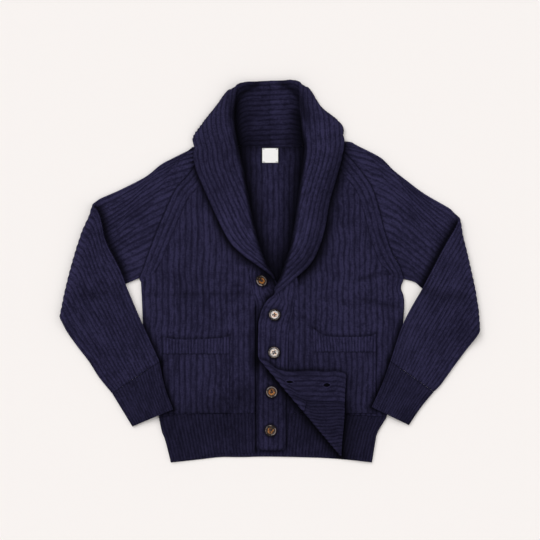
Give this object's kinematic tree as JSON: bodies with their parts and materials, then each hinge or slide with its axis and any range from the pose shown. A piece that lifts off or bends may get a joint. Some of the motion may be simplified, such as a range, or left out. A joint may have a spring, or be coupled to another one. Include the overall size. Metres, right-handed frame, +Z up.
{
  "type": "shawl collar cardigan",
  "caption": "Shawl collar cardigan in chunky rib knit, laid flat with folded sleeves and one turned front corner, with patch pockets and round buttons.",
  "frame": {"origin": "centre of the garment's bounding box, on the surface that it lies on", "axes": "+X towards the wearer's left sleeve, +Y towards the neck, +Z up out of the front"},
  "size_m": [0.8612, 0.7825, 0.0273],
  "materials": {
    "rib_knit": "dark navy lambswool rib knit, soft and matt",
    "horn": "polished dark brown horn",
    "neck_tape": "plain white woven tape"
  },
  "bodies": {
    "root": {"back": "rib_knit", "hem_back": "rib_knit", "front_right": "rib_knit", "front_left": "rib_knit", "hem_front_right": "rib_knit", "hem_front_left": "rib_knit", "sleeve_right": "rib_knit", "sleeve_left": "rib_knit", "cuff_right": "rib_knit", "cuff_left": "rib_knit", "collar_band_right": "rib_knit", "collar_band_left": "rib_knit", "pocket_right": "rib_knit", "pocket_left": "rib_knit", "pocket_welt_right": "rib_knit", "pocket_welt_left": "rib_knit", "button_1": "horn", "button_2": "horn", "button_3": "horn", "button_4": "horn", "button_5": "horn", "label": "neck_tape"}
  },
  "joints": []
}
